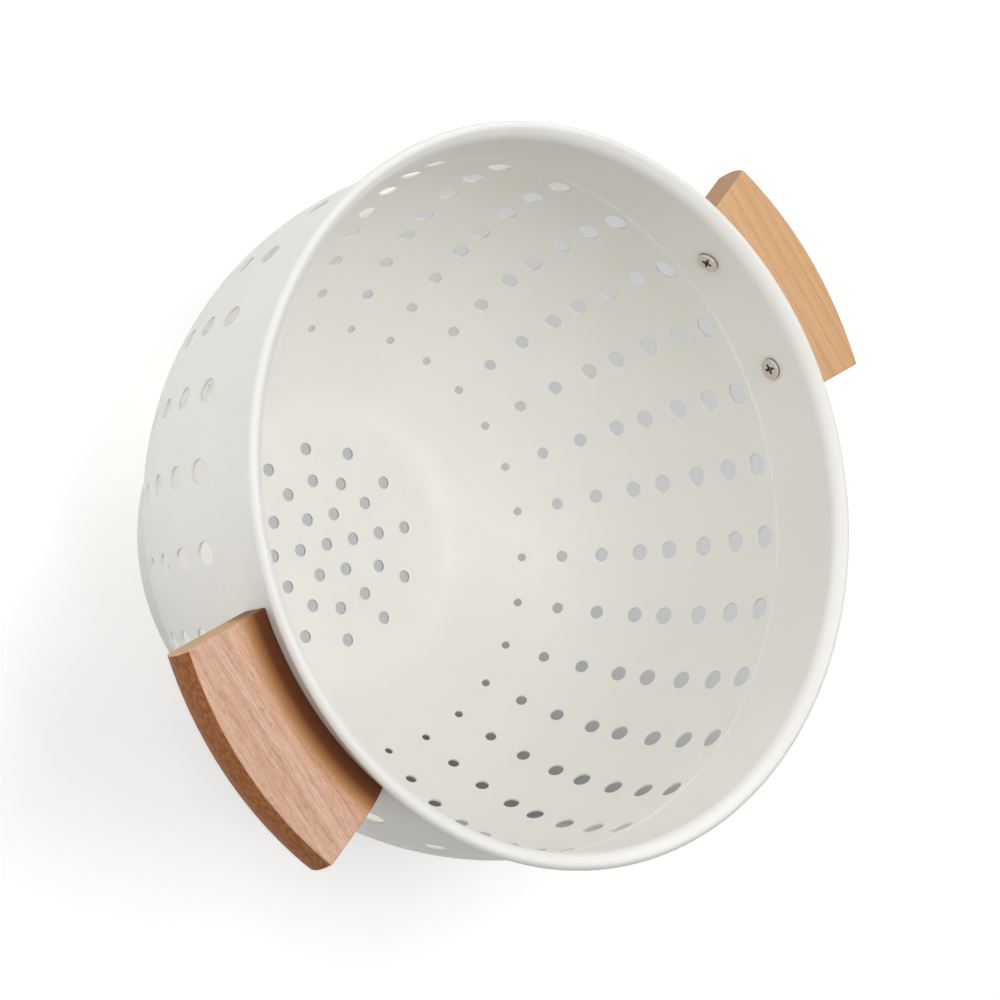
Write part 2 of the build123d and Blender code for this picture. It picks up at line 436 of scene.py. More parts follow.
@dataclass(frozen=True)
class Wood(Finish):
    """Oiled hardwood with straight grain along Y, with painted shade on its outer face and by the wall,
    painted bounced light by the wall and a painted highlight on the ridge.
    """

    light: Colour = (0.86, 0.58, 0.45)
    middle: Colour = (0.70, 0.43, 0.30)
    dark: Colour = (0.42, 0.21, 0.11)
    pore: Colour = (0.25, 0.11, 0.05)
    # The next colour is painted shade on the outer face; the flecks after it are the grain's own.
    outer: Colour = (0.395, 0.135, 0.034)
    fleck: Colour = (0.14, 0.045, 0.012)
    # The next colour is a painted highlight along the ridge where the top face starts to fall to the wall.
    ridge: Colour = (0.88, 0.55, 0.37)
    # The next colour is painted light: warm light thrown back between the wood and the bowl's wall.
    painted_bounce_light: Colour = (0.62, 0.30, 0.11)
    # The next colour is painted shade: the rim's shadow and the dark corner under it, by the bowl's wall.
    wall_side: Colour = (0.17, 0.05, 0.015)
    end: Colour = (0.62, 0.38, 0.19)
    fibre_strength: float = 0.44
    ring_strength: float = 0.35
    pore_strength: float = 0.45
    fleck_strength: float = 0.6
    # Strength of the painted shade on the outer face.
    outer_shade_strength: float = 0.97
    # Strength of the painted shade by the wall.
    wall_shade_strength: float = 0.97
    # Strength of the painted highlight on the ridge.
    ridge_highlight_strength: float = 0.65
    end_strength: float = 0.8
    # Radii from the bowl's axis where the painted shade by the wall is full and where it ends.
    wall_shade_reach: Pair = (0.1300, 0.1365)
    # Radii from the bowl's axis where the painted bounced light by the wall is full and where it ends.
    glow_reach: Pair = (0.1340, 0.1387)
    # Radii from the bowl's axis where the painted highlight on the ridge rises and falls.
    ridge_highlight_rise: Pair = (0.1375, 0.1395)
    ridge_highlight_fall: Pair = (0.1410, 0.1440)
    ring_width: float = 0.0062
    ring_tilt: float = 0.55
    band_width: float = 0.0026
    band_length: float = 0.09
    fibre_width: float = 0.00019
    fibre_length: float = 0.009
    fleck_size: float = 0.0009
    wander: float = 0.004
    centre: tuple[float, float, float] = (0.145, 0.0, 0.147)
    roughness_range: Pair = (0.42, 0.52)
    shine: float = 0.2
    relief: float = 0.00003

    def grain(self, b: MaterialBuilder) -> bpy.types.NodeOutputs:
        """Place the shared grain with this board's own sizes.

        Args:
            b: Builder of the material's tree.

        Returns:
            The grain's masks.
        """
        moved = b.add("ShaderNodeMapping", {"Vector": b.place, "Location": tuple(-c for c in self.centre)})
        feeds = {"Vector": moved.outputs[0]} | {label: getattr(self, label) for label in GRAIN_SIZES}
        return b.add("ShaderNodeGroup", feeds, node_tree=grain_group()).outputs

    def dress(self, b: MaterialBuilder) -> None:
        """Set and link the shader's inputs.

        Args:
            b: Builder of the material's tree.
        """
        grain = self.grain(b)
        flat = b.vector_math("MULTIPLY", b.place, (1.0, 1.0, 0.0)).outputs[0]
        radius = b.vector_math("LENGTH", flat).outputs["Value"]
        rise = b.spread(radius, *self.ridge_highlight_rise)
        fall = b.spread(radius, *self.ridge_highlight_fall, self.ridge_highlight_strength, 0.0)
        outer = b.attribute(OUTER_MARK)
        flecks = b.math("MULTIPLY", grain["Flecks"], outer)
        layers = (
            # Painted highlight along the ridge.
            (b.math("MULTIPLY", rise, fall), self.ridge),
            (b.math("MULTIPLY", grain["Fibres"], self.fibre_strength), self.dark),
            (b.math("MULTIPLY", grain["Rings"], self.ring_strength), self.dark),
            (b.math("MULTIPLY", b.attribute(END_MARK), self.end_strength), self.end),
            # Painted shade on the outer face.
            (b.math("MULTIPLY", outer, self.outer_shade_strength), self.outer),
            (b.math("MULTIPLY", flecks, self.fleck_strength), self.fleck),
            # Painted bounced light by the wall.
            (b.spread(radius, *self.glow_reach, 1.0, 0.0), self.painted_bounce_light),
            # Painted shade by the wall: the rim's shadow and the dark corner under it.
            (b.spread(radius, *self.wall_shade_reach, self.wall_shade_strength, 0.0), self.wall_side),
            (b.math("MULTIPLY", grain["Pores"], self.pore_strength), self.pore),
        )
        colour = b.mix(grain["Bands"], self.light, self.middle)
        for share, layer in layers:
            colour = b.mix(share, colour, layer)
        b.dress("Base Color", colour)
        b.dress("Specular IOR Level", self.shine)
        b.dress("Roughness", b.spread(grain["Fibres"], 0.0, 1.0, *self.roughness_range))
        b.bump(grain["Height"], self.relief)


@dataclass(frozen=True)
class Metal(Finish):
    """Plain machined metal with faint blotches, and painted shade where the recess mark is set: the dark
    deep in the cross recess, and faintly on the head's side.
    """

    colour: Colour = (0.56, 0.50, 0.44)
    worn_colour: Colour = (0.66, 0.61, 0.55)
    # The next colour is painted shade, the dark deep in the screw's cross recess.
    painted_recess_shade: Colour = (0.012, 0.010, 0.009)
    metallic: float = 0.75
    roughness: float = 0.42
    recess_roughness: float = 0.9
    blotch_size: float = 0.0016
    scratch_size: float = 0.00018
    scratch_depth: float = 0.000006

    def dress(self, b: MaterialBuilder) -> None:
        """Set and link the shader's inputs.

        Args:
            b: Builder of the material's tree.
        """
        sizes = {"Blotch Size": self.blotch_size, "Grain Size": self.scratch_size}
        mottle = b.add("ShaderNodeGroup", {"Vector": b.place} | sizes, node_tree=mottle_group()).outputs
        # The recess mark paints shade: near black in the cross recess, fainter on the head's side.
        recess = b.attribute(RECESS_SHADE_MARK)
        colour = b.mix(mottle["Mask"], self.colour, self.worn_colour)
        b.dress("Base Color", b.mix(recess, colour, self.painted_recess_shade))
        b.dress("Metallic", b.spread(recess, 0.0, 1.0, self.metallic, 0.0))
        b.dress("Roughness", b.spread(recess, 0.0, 1.0, self.roughness, self.recess_roughness))
        b.bump(mottle["Height"], self.scratch_depth)


@dataclass(frozen=True)
class Leg:
    """One stretch of a section: its length, and the point and outward normal at a share of it."""

    length: float
    at: Callable[[float], tuple[Pair, Pair]]


def line_leg(start: Pair, end: Pair) -> Leg:
    """Straight stretch of a section.

    Args:
        start: Radius and height of its first point.
        end: Radius and height of its last point.

    Returns:
        The leg, whose normal is on the right of the way from start to end.
    """
    run = (end[0] - start[0], end[1] - start[1])
    length = math.hypot(*run)
    normal = (run[1] / length, -run[0] / length)
    return Leg(length, lambda t: ((start[0] + run[0] * t, start[1] + run[1] * t), normal))


def arc_leg(centre: Pair, radius: float, first: float, last: float) -> Leg:
    """Arc of a section between two angles.

    Args:
        centre: Radius and height of its centre.
        radius: The arc's own radius.
        first: Angle of its first point.
        last: Angle of its last point, larger than first if the arc runs anticlockwise.

    Returns:
        The leg, whose normal is on the right of the way from first to last.
    """
    way = 1 if last > first else -1

    def at(t: float) -> tuple[Pair, Pair]:
        """Point and normal at a share of the arc."""
        c, s = (wave(math.radians(first + (last - first) * t)) for wave in (math.cos, math.sin))
        return (centre[0] + radius * c, centre[1] + radius * s), (way * c, way * s)

    return Leg(abs(math.radians(last - first)) * radius, at)


def step_leg(start: Pair, end: Pair) -> Leg:
    """Soft S-shaped step between two upright stretches of a section.

    Args:
        start: Radius and height of its first point.
        end: Radius and height of its last point.

    Returns:
        The leg, whose normal is on the right of the way from start to end.
    """
    (x, z), width, rise = start, end[0] - start[0], end[1] - start[1]

    def at(t: float) -> tuple[Pair, Pair]:
        """Point and normal at a share of the step's height."""
        lean = math.atan(width * 6 * t * (1 - t) / rise)
        return (x + width * t * t * (3 - 2 * t), z + rise * t), (math.cos(lean), -math.sin(lean))

    return Leg(rise, at)


@dataclass
class SectionPath:
    """Chain of legs, measured from the bowl's axis."""

    legs: list[Leg] = field(default_factory=list)

    def add(self, leg: Leg) -> float:
        """Add a leg and return the chain's length up to its end."""
        self.legs.append(leg)
        return sum(leg.length for leg in self.legs)

    def at(self, along: float) -> tuple[Pair, Pair]:
        """Point and outward normal at a distance along the chain.

        Args:
            along: The distance.

        Returns:
            Radius and height of the point, and of the normal.
        """
        left = along
        for leg in self.legs[:-1]:
            if left <= leg.length:
                return leg.at(left / leg.length)
            left -= leg.length
        return self.legs[-1].at(min(1.0, left / self.legs[-1].length))


@dataclass
class Draft:
    """Points with a value for each mark, and faces, gathered before they become a mesh."""

    marks: tuple[str, ...] = ()
    points: list[tuple[float, ...]] = field(default_factory=list)
    values: list[tuple[float, ...]] = field(default_factory=list)
    faces: list[tuple[int, ...]] = field(default_factory=list)

    def point(self, place: Vector, *values: float) -> int:
        """Add a point.

        Args:
            place: The point.
            values: The point's value for each of the draft's marks.

        Returns:
            The point's number.
        """
        self.points.append(tuple(place))
        self.values.append(values)
        return len(self.points) - 1

    def loft(self, rows: list[list[int]], closed: bool = True, capped: bool = False) -> None:
        """Join each row of points to the next with four-sided faces.

        Args:
            rows: Rows of points, in order along the surface.
            closed: True if the rows are rings.
            capped: True if the first and the last ring are filled with a face.
        """
        for first, second in zip(rows, rows[1:]):
            count = len(first)
            for k in range(count if closed else count - 1):
                n = (k + 1) % count
                self.faces.append((first[k], second[k], second[n], first[n]))
        if capped:
            self.faces += [tuple(rows[0]), tuple(rows[-1][::-1])]

    def mesh(self, name: str, solid: bool = False) -> Mesh:
        """Make the mesh, with its marks and its points merged.

        Args:
            name: Name of the mesh.
            solid: True if the faces enclose a solid, and are turned outwards.

        Returns:
            The mesh.
        """
        made = bpy.data.meshes.new(name)
        made.from_pydata(self.points, [], self.faces)
        for k, mark in enumerate(self.marks):
            column = [values[k] for values in self.values]
            made.attributes.new(mark, "FLOAT", "POINT").data.foreach_set("value", column)
        work = bmesh.new()
        work.from_mesh(made)
        bmesh.ops.remove_doubles(work, verts=work.verts, dist=MERGE_DISTANCE)
        if solid:
            bmesh.ops.recalc_face_normals(work, faces=work.faces)
        work.to_mesh(made)
        work.free()
        return made


def smooth_with_sharp_edges(mesh: Mesh, sharp_angle: float) -> None:
    """Shade a mesh smooth, apart from the edges that turn by more than an angle."""
    mesh.shade_smooth()
    mesh.set_sharp_from_angle(angle=math.radians(sharp_angle))


def add_object(mesh: Mesh, home: Collection | None = None) -> Piece:
    """Make an object of a mesh, with the mesh's name.

    Args:
        mesh: The mesh.
        home: The collection that takes the object, or None for the scene's own.

    Returns:
        The new object.
    """
    made = bpy.data.objects.new(mesh.name, mesh)
    (home or bpy.context.scene.collection).objects.link(made)
    return made


def points_object(name: str, places: list[Vector]) -> Piece:
    """Make an object of loose points.

    Args:
        name: Name of the object.
        places: The points.

    Returns:
        The new object.
    """
    mesh = bpy.data.meshes.new(name)
    mesh.from_pydata([tuple(place) for place in places], [], [])
    return add_object(mesh)


def collect(name: str, *meshes: Mesh) -> Collection:
    """Put meshes into a collection of their own, whose order is that of their names.

    Args:
        name: Name of the collection.
        meshes: The meshes.

    Returns:
        The new collection.
    """
    home = bpy.data.collections.new(name)
    bpy.context.scene.collection.children.link(home)
    for mesh in meshes:
        add_object(mesh, home)
    return home


def bake_modifiers(host: Piece, name: str) -> Piece:
    """Turn an object's evaluated modifiers into a plain mesh.

    Args:
        host: The object that carries the modifiers. It is removed.
        name: Name of the new object.

    Returns:
        The new object, with no modifiers.
    """
    bpy.context.view_layer.update()
    graph = bpy.context.evaluated_depsgraph_get()
    done = host.evaluated_get(graph)
    mesh = bpy.data.meshes.new_from_object(done, preserve_all_data_layers=True, depsgraph=graph)
    mesh.name = name
    bpy.data.objects.remove(host)
    return add_object(mesh)


def grow(tree: Tree, name: str, **values) -> Piece:
    """Run a geometry tree and return its result as a plain object.

    Args:
        tree: The geometry node tree.
        name: Name of the new object.
        values: Value of each input, named as the socket is with spaces as underscores. Objects
            and collections among them are removed in the end.

    Returns:
        The new object.
    """
    host = add_object(bpy.data.meshes.new(name + "_host"))
    modifier = host.modifiers.new(name, "NODES")
    modifier.node_group = tree
    for item in tree.interface.items_tree:
        label = item.name.replace(" ", "_").lower()
        if item.item_type == "SOCKET" and item.in_out == "INPUT" and label in values:
            modifier[item.identifier] = values[label]
    made = bake_modifiers(host, name)
    for value in values.values():
        if isinstance(value, Collection):
            for used in list(value.objects):
                bpy.data.objects.remove(used)
            bpy.data.collections.remove(value)
        elif isinstance(value, Piece):
            bpy.data.objects.remove(value)
    return made


def finish_piece(piece: Piece, slot: Slot, *nodes: str) -> None:
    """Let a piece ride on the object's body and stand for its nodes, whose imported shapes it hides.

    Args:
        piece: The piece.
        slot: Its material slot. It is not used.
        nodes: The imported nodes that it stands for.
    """
    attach(piece, BODY)
    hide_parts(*nodes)
    log.info("%s: %d faces, for %s", piece.name, len(piece.data.polygons), ", ".join(nodes))


def wedge_round(b: TreeBuilder, given: Node) -> Socket:
    """Nodes that repeat the wedges of a collection round the Z axis.

    Every column takes the first wedge, apart from two columns in each half turn, which take the
    second and the third.

    Args:
        b: Builder of the geometry tree.
        given: The tree's input node.

    Returns:
        The socket with the ring of wedges as one mesh.
    """
    wedges = b.add("GeometryNodeCollectionInfo", {0: given.outputs["Wedges"], "Separate Children": True})
    dots = b.add("GeometryNodePoints", {"Count": given.outputs["Columns"]})
    index = b.add("GeometryNodeInputIndex").outputs[0]
    place = b.math("MODULO", index, b.math("DIVIDE", given.outputs["Columns"], 2.0))
    second = b.math("COMPARE", place, given.outputs["Second Column"])
    third = b.math("COMPARE", place, given.outputs["Third Column"])
    for check in (second, third):
        check.node.inputs[2].default_value = 0.1
    choice = b.math("ADD", second, b.math("MULTIPLY", third, 2.0))
    step = b.math("DIVIDE", math.tau, given.outputs["Columns"])
    turn = b.math("ADD", given.outputs["First Turn"], b.math("MULTIPLY", index, step))
    spin = b.add("ShaderNodeCombineXYZ", {"Z": turn}).outputs[0]
    picks = {"Rotation": spin, "Pick Instance": True, "Instance Index": choice}
    return b.copies(dots.outputs[0], wedges.outputs[0], picks)


def punched_disc(b: TreeBuilder, given: Node) -> Socket:
    """Nodes that make a flat double-sided disc with a lipped hole at each given point.

    Args:
        b: Builder of the geometry tree.
        given: The tree's input node.

    Returns:
        The socket with the disc's two faces and the holes' lips.
    """

    def circle(points: str, radius: str) -> Socket:
        """Circle with a number of points and a radius that the tree is given."""
        feeds = {"Resolution": given.outputs[points], "Radius": given.outputs[radius]}
        return b.add("GeometryNodeCurvePrimitiveCircle", feeds).outputs[0]

    def moved(shape: Socket, way: str, amount: str) -> Socket:
        """Shape moved along Z, or turned round it, by an amount that the tree is given."""
        along = b.add("ShaderNodeCombineXYZ", {"Z": given.outputs[amount]}).outputs[0]
        return b.add("GeometryNodeTransform", {"Geometry": shape, way: along}).outputs[0]

    centres = b.shape_of(given.outputs["Hole Centres"])
    edge = moved(circle("Disc Points", "Disc Radius"), "Rotation", "Disc Turn")
    holes = b.copies(centres, circle("Hole Points", "Lip Radius"))
    face = b.add("GeometryNodeFillCurve", {0: b.join(edge, holes)}).outputs[0]
    lips = b.copies(centres, b.shape_of(given.outputs["Hole Lip"]))
    lower = b.add("GeometryNodeFlipFaces", {0: moved(face, "Translation", "Lower Height")})
    return b.join(moved(face, "Translation", "Upper Height"), lower.outputs[0], lips)


def dress_tree(b: TreeBuilder, given: Node, out: Node, shape: Socket) -> None:
    """End a geometry tree: make its instances real and set the material.

    Args:
        b: Builder of the geometry tree.
        given: The tree's input node.
        out: The tree's output node.
        shape: The socket with the finished shape.
    """
    real = b.add("GeometryNodeRealizeInstances", {0: shape})
    feeds = {"Geometry": real.outputs[0], "Material": given.outputs["Material"]}
    b.feed(out.inputs["Geometry"], b.add("GeometryNodeSetMaterial", feeds).outputs[0])


ROUND_INPUTS = {
    "Wedges": "Collection",
    "Columns": "Int",
    "First Turn": "Float",
    "Second Column": "Int",
    "Third Column": "Int",
    "Material": "Material",
}
DISC_INPUTS = {
    "Hole Centres": "Object",
    "Hole Lip": "Object",
    "Disc Points": "Int",
    "Disc Radius": "Float",
    "Disc Turn": "Float",
    "Hole Points": "Int",
    "Lip Radius": "Float",
    "Upper Height": "Float",
    "Lower Height": "Float",
}


def round_tree(name: str, punched_floor: bool) -> Tree:
    """Geometry tree of wedges repeated round the Z axis.

    Args:
        name: Name of the tree.
        punched_floor: True for a punched floor inside the wedges.

    Returns:
        The new tree.
    """
    inputs = ROUND_INPUTS | (DISC_INPUTS if punched_floor else {})
    b, given, out = new_group(name, "Geometry", inputs, {"Geometry": "Geometry"})
    parts = [wedge_round(b, given)]
    if punched_floor:
        parts.append(punched_disc(b, given))
    feeds = {"Geometry": b.join(*parts), "Distance": MERGE_DISTANCE}
    merged = b.add("GeometryNodeMergeByDistance", feeds)
    smooth = b.add("GeometryNodeSetShadeSmooth", {"Geometry": merged.outputs[0]})
    dress_tree(b, given, out, smooth.outputs[0])
    return b.tree


def placed_copies_tree() -> Tree:
    """Geometry tree that sets one copy of a part at each point, turned by the point's own facing.

    Returns:
        The new tree.
    """
    inputs = {"Places": "Object", "Part": "Object", "Material": "Material"}
    b, given, out = new_group("placed_copies", "Geometry", inputs, {"Geometry": "Geometry"})
    facing = b.add("GeometryNodeInputNamedAttribute", {"Name": FACING_MARK}, data_type="FLOAT_VECTOR")
    places, part = (b.shape_of(given.outputs[name]) for name in ("Places", "Part"))
    dress_tree(b, given, out, b.copies(places, part, {"Rotation": facing.outputs["Attribute"]}))
    return b.tree


@dataclass
class HoleRow:
    """One row of wall holes: its middle along the section, its size and its cell's two ends."""

    middle: float
    diameter: float
    low: float
    high: float


@dataclass
class PunchedBowl:
    """Drawn bowl with a rolled rim, rows of holes in its wall and rings of holes in its floor."""

    sheet: float = 0.001
    curve_radius: float = 0.1183
    curve_height: float = 0.107
    corner_radius: float = 0.025
    rim_overhang: float = 0.0065
    step_start: float = 0.0106
    step_rise: float = 0.001
    step_width: float = 0.0003
    step_softness: float = 0.0003
    bead_radius: float = 0.002
    flare_angle: float = 55.0
    flare_blend_radius: float = 0.005
    curl_end_angle: float = -120.0

    columns: int = 28
    pattern_turn: float = -1.0
    top_row_rise: float = 0.0037
    row_pitch: float = 0.0158
    close_row_pitch: float = 0.0127
    close_gap_after_row: int = 4
    smallest_hole: float = 0.003
    largest_hole: float = 0.0082
    row_size_shares: tuple[float, ...] = (0.0, 0.21, 0.385, 0.54, 0.67, 0.77, 0.885, 1.0)
    row_room: float = 0.0054
    edge_round: float = 0.0003
    edge_bend: float = 45.0
    edge_flat: float = 0.0006

    floor_hole: float = 0.0046
    floor_ring_pitch: float = 0.0124
    floor_ring_counts: tuple[int, ...] = (6, 12, 12)
    floor_ring_turns: tuple[float, ...] = (35.8, 5.8, 5.8)
    floor_disc_radius: float = 0.044

    screw_drop: float = 0.0184
    screw_spacing: float = 0.0472
    screw_hole: float = 0.0046
    screw_cell_height: float = 0.010

    cell_width_steps: int = 7
    cell_height_steps: int = 5
    cell_blend: float = 0.4
    steps_under_holes: tuple[int, ...] = (1, 1, 5, 4)
    steps_over_holes: tuple[int, ...] = (1, 8, 2)
    steps_to_rim: tuple[int, ...] = (2, 10, 2, 22)

    def __post_init__(self) -> None:
        """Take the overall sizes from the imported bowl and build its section."""
        low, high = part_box("bowl")
        self.rim_radius, self.rim_top = high.x, high.z
        self.floor_top = low.z + self.sheet
        self.wall_radius = self.rim_radius - self.rim_overhang
        self.band_radius = self.wall_radius + self.step_width
        self.column_angle = 360 / self.columns
        self.hole_points = 2 * (self.cell_width_steps + self.cell_height_steps)
        half = self.column_angle / 2
        self.wedge_turns = spaced(-half, half, self.cell_width_steps)
        self.screw_turn = math.degrees(math.asin(self.screw_spacing / 2 / self.band_radius))
        self.draw_section()

    def draw_section(self) -> None:
        """Draw the sheet's inner face from the axis to the end of the rolled rim.

        The stretches are the floor, its corner, the wall's curve, the straight wall, the step, the
        band, the soft bend into the flare, the flare and the curl.
        """
        path = self.path = SectionPath()
        centre = (self.wall_radius - self.curve_radius, self.floor_top + self.curve_height)
        corner_z = self.floor_top + self.corner_radius
        reach = self.curve_radius - self.corner_radius
        corner_r = centre[0] + math.sqrt(reach**2 - (centre[1] - corner_z) ** 2)
        meet = math.degrees(math.atan2(corner_z - centre[1], corner_r - centre[0]))
        self.flat_end = path.add(line_leg((0.0, self.floor_top), (corner_r, self.floor_top)))
        self.corner_end = path.add(arc_leg((corner_r, corner_z), self.corner_radius, -90, meet))
        self.curve_end = path.add(arc_leg(centre, self.curve_radius, meet, 0))

        step_low = centre[1] + self.step_start - self.step_softness
        step_high = centre[1] + self.step_start + self.step_rise + self.step_softness
        self.wall_end = path.add(line_leg((self.wall_radius, centre[1]), (self.wall_radius, step_low)))
        self.step_end = path.add(step_leg((self.wall_radius, step_low), (self.band_radius, step_high)))

        bead = (self.rim_radius - self.bead_radius, self.rim_top - self.bead_radius)
        slope = math.radians(self.flare_angle)
        touch = (bead[0] - self.bead_radius * math.cos(slope), bead[1] + self.bead_radius * math.sin(slope))
        knee = touch[1] - (touch[0] - self.band_radius) / math.tan(slope)
        blend_low = (self.band_radius, knee - self.flare_blend_radius * math.tan(slope / 2))
        blend_centre = (self.band_radius + self.flare_blend_radius, blend_low[1])
        flare_turn = 180 - self.flare_angle
        blend = arc_leg(blend_centre, self.flare_blend_radius, 180, flare_turn)
        self.band_end = path.add(line_leg((self.band_radius, step_high), blend_low))
        self.blend_end = path.add(blend)
        self.flare_end = path.add(line_leg(blend.at(1.0)[0], touch))
        self.curl_end = path.add(arc_leg(bead, self.bead_radius, flare_turn, self.curl_end_angle))
        self.screw_middle = self.step_end + (self.rim_top - self.screw_drop) - step_high

    def rows(self) -> list[HoleRow]:
        """Place the rows of wall holes.

        Returns:
            The rows, lowest first.
        """
        middles = [self.curve_end + self.top_row_rise]
        for row in range(len(self.row_size_shares), 1, -1):
            pitch = self.close_row_pitch if row - 1 == self.close_gap_after_row else self.row_pitch
            middles.insert(0, middles[0] - pitch)
        ends = [middles[0] - self.row_pitch / 2]
        ends += [(a + b) / 2 for a, b in zip(middles, middles[1:])]
        ends.append(middles[-1] + self.row_room)
        growth = self.largest_hole - self.smallest_hole
        sizes = [self.smallest_hole + growth * share for share in self.row_size_shares]
        return [HoleRow(*values) for values in zip(middles, sizes, ends, ends[1:])]

    def point(self, draft: Draft, along: float, turn: float, depth: float, mark: float = 0.0) -> int:
        """Add a point of the sheet to a draft and return its number.

        Args:
            draft: The draft.
            along: Distance along the section.
            turn: Angle round the bowl's axis in degrees.
            depth: Distance under the inner face, towards the outer one.
            mark: How far the point belongs to a cut edge, from 0 to 1.

        Returns:
            The point's number.
        """
        (r, z), (nr, nz) = self.path.at(along)
        return draft.point(turned(r + nr * depth, z + nz * depth, turn), mark)

    def plain(
        self, draft: Draft, first: float, reaches: tuple[float, ...], steps: tuple[int, ...]
    ) -> float:
        """Add stretches of plain sheet across one wedge, at both faces.

        Args:
            draft: The wedge's draft.
            first: Start of the first stretch along the section.
            reaches: End of each stretch.
            steps: Number of rows of faces in each stretch.

        Returns:
            The last stretch's end.
        """
        for last, count in zip(reaches, steps):
            levels = spaced(first, last, count)
            for depth in (0.0, self.sheet):
                rows = [[self.point(draft, s, turn, depth) for turn in self.wedge_turns] for s in levels]
                draft.loft(rows if depth == 0 else rows[::-1], closed=False)
            first = last
        return first

    def hole_edge(self, diameter: float) -> list[tuple[float, float, float]]:
        """Section of a hole's rounded edge, with a narrow flat at both faces of the sheet.

        Args:
            diameter: The hole's diameter.

        Returns:
            Radius, depth in the sheet and edge mark of each point, from face to face.
        """
        size, soft, bend = diameter / 2, self.edge_round, math.radians(self.edge_bend)
        near = [
            (size + soft + self.edge_flat, 0.0, 0.0),
            (size + soft, 0.0, 0.0),
            (size + soft * (1 - math.sin(bend)), soft * (1 - math.cos(bend)), 0.5),
            (size, soft, 1.0),
        ]
        return near + [(radius, self.sheet - depth, mark) for radius, depth, mark in near[::-1]]

    def cell(self, draft: Draft, row: HoleRow, offset: float = 0.0) -> float:
        """Add one cell of sheet with a round hole, both faces and the hole's rounded edges.

        Args:
            draft: The wedge's draft.
            row: The hole's place and size and the cell's ends.
            offset: Angle of the hole from the wedge's middle in degrees.

        Returns:
            The cell's last end along the section.
        """
        wide, turns = self.cell_width_steps, self.wedge_turns
        levels = spaced(row.low, row.high, self.cell_height_steps)
        border = [(row.low, t) for t in turns[:-1]]
        border += [(s, turns[-1]) for s in levels[:-1]]
        border += [(row.high, t) for t in turns[:0:-1]]
        border += [(s, turns[0]) for s in levels[:0:-1]]
        step = 360 / self.hole_points
        angles = [math.radians(-90 + (k - wide / 2) * step) for k in range(self.hole_points)]

        def ring(radius: float, depth: float, mark: float, blend: float = 0.0) -> list[int]:
            """One ring of points between the hole's circle and the cell's border.

            Args:
                radius: Radius of the circle.
                depth: The ring's depth in the sheet.
                mark: How far the ring belongs to a cut edge.
                blend: 0 on the circle, 1 on the border.

            Returns:
                The points' numbers.
            """
            made = []
            for a, (s_out, t_out) in zip(angles, border):
                s = row.middle + radius * math.sin(a)
                (r, _), _ = self.path.at(s)
                t = offset + math.degrees(radius * math.cos(a) / r)
                s, t = s + (s_out - s) * blend, t + (t_out - t) * blend
                made.append(self.point(draft, s, t, depth, mark))
            return made

        edge = self.hole_edge(row.diameter)
        inner = [ring(*edge[0], blend) for blend in (1.0, self.cell_blend)]
        outer = [ring(*edge[-1], blend) for blend in (self.cell_blend, 1.0)]
        draft.loft(inner + [ring(*place) for place in edge] + outer)
        return row.high

    def wedge(self, name: str, screw_offset: float | None = None) -> Mesh:
        """Build one column of wall from the edge of the floor's disc to the end of the rim.

        Args:
            name: Name of the mesh.
            screw_offset: Angle of a screw hole from the wedge's middle, or None for no screw hole.

        Returns:
            The wedge's mesh, open at its sides and at its lower end.
        """
        draft, rows = Draft((EDGE_MARK,)), self.rows()
        low, high = (self.screw_middle + side * self.screw_cell_height / 2 for side in (-1, 1))
        end = self.floor_disc_radius
        reaches = (end + self.edge_flat, self.flat_end, self.corner_end, rows[0].low)
        end = self.plain(draft, end, reaches, self.steps_under_holes)
        for row in rows:
            end = self.cell(draft, row)
        end = self.plain(draft, end, (self.wall_end, self.step_end, low), self.steps_over_holes)
        if screw_offset is None:
            end = self.plain(draft, end, (high,), (self.cell_height_steps,))
        else:
            end = self.cell(draft, HoleRow(self.screw_middle, self.screw_hole, low, high), screw_offset)
        reaches = (self.band_end, self.blend_end, self.flare_end, self.curl_end)
        end = self.plain(draft, end, reaches, self.steps_to_rim)
        faces = (0.0, self.sheet)
        rim = [[self.point(draft, end, turn, depth, 1.0) for turn in self.wedge_turns] for depth in faces]
        draft.loft(rim, closed=False)
        return draft.mesh(name)

    def floor_centres(self) -> Piece:
        """Place the floor's holes.

        Returns:
            An object with a point at the middle of each hole.
        """
        places = [Vector((0, 0, 0))]
        for ring, (count, first) in enumerate(zip(self.floor_ring_counts, self.floor_ring_turns), start=1):
            radius = self.floor_ring_pitch * ring
            places += [turned(radius, 0.0, first + k * 360 / count) for k in range(count)]
        return points_object("floor_hole_centres", places)

    def floor_lip(self) -> Piece:
        """Build the rounded wall of one floor hole, with a narrow flat round it at both faces.

        Returns:
            The lip's object.
        """
        draft = Draft((EDGE_MARK,))
        turns = [-k * 360 / self.hole_points for k in range(self.hole_points)]
        rings = []
        for radius, depth, mark in self.hole_edge(self.floor_hole):
            height = self.floor_top - depth
            rings.append([draft.point(turned(radius, height, turn), mark) for turn in turns])
        draft.loft(rings)
        return add_object(draft.mesh("floor_hole_lip"))

